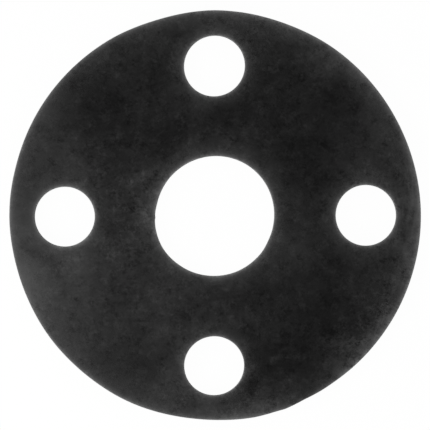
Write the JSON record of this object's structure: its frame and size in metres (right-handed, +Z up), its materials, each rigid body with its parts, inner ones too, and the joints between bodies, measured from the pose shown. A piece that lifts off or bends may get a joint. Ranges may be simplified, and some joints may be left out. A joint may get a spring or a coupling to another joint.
{
  "type": "flange gasket",
  "caption": "Flat full-face gasket of black sheet rubber for a small pipe flange, with a central bore and a ring of bolt holes.",
  "frame": {"origin": "middle of the bore, on the underside face", "axes": "+Z up out of the face that the knife entered, along the bore; +X and +Y run through the first two bolt holes"},
  "size_m": [0.1084, 0.1084, 0.0032],
  "materials": {
    "sheet_rubber": "calendered black vulcanised rubber, matt with a soft sheen"
  },
  "bodies": {
    "root": {"gasket": "sheet_rubber"}
  },
  "joints": []
}
